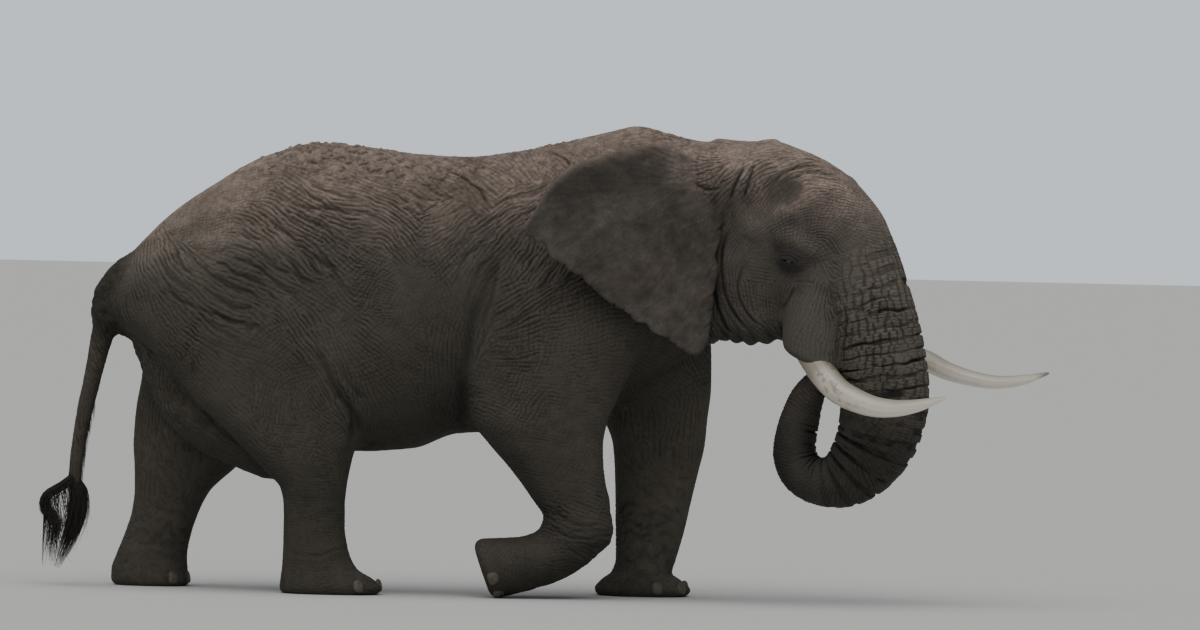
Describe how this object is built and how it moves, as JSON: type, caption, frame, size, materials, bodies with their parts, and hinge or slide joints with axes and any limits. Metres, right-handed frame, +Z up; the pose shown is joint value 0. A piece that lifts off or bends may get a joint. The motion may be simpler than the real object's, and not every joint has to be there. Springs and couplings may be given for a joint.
{
  "type": "elephant",
  "caption": "African elephant bull walking, one forefoot lifting, head turned a little, trunk curled up to the mouth, curved tusks.",
  "frame": {"origin": "on the floor, under the middle of the whole animal's box", "axes": "+X forwards along the body, +Y towards the animal's left, +Z up"},
  "size_m": [6.7602, 1.8976, 3.1647],
  "materials": {
    "skin": "matte, wrinkled, dusty",
    "ivory": "satin, stained towards the lip",
    "eye": "wet gloss",
    "hair": "coarse bristles"
  },
  "bodies": {
    "root": {"ear_left": "skin", "ear_right": "skin", "eye_left": "eye", "eye_right": "eye", "forefoot_left": "skin", "forefoot_right": "skin", "foreleg_left": "skin", "foreleg_right": "skin", "head": "skin", "hindfoot_left": "skin", "hindfoot_right": "skin", "hindleg_left": "skin", "hindleg_right": "skin", "neck": "skin", "tail_base": "skin", "tail_end": "skin", "tail_tuft": "hair", "torso_front": "skin", "torso_middle": "skin", "torso_rear": "skin", "trunk_curl": "skin", "trunk_lower": "skin", "trunk_tip": "skin", "trunk_upper": "skin", "tusk_left": "ivory", "tusk_right": "ivory"}
  },
  "joints": []
}
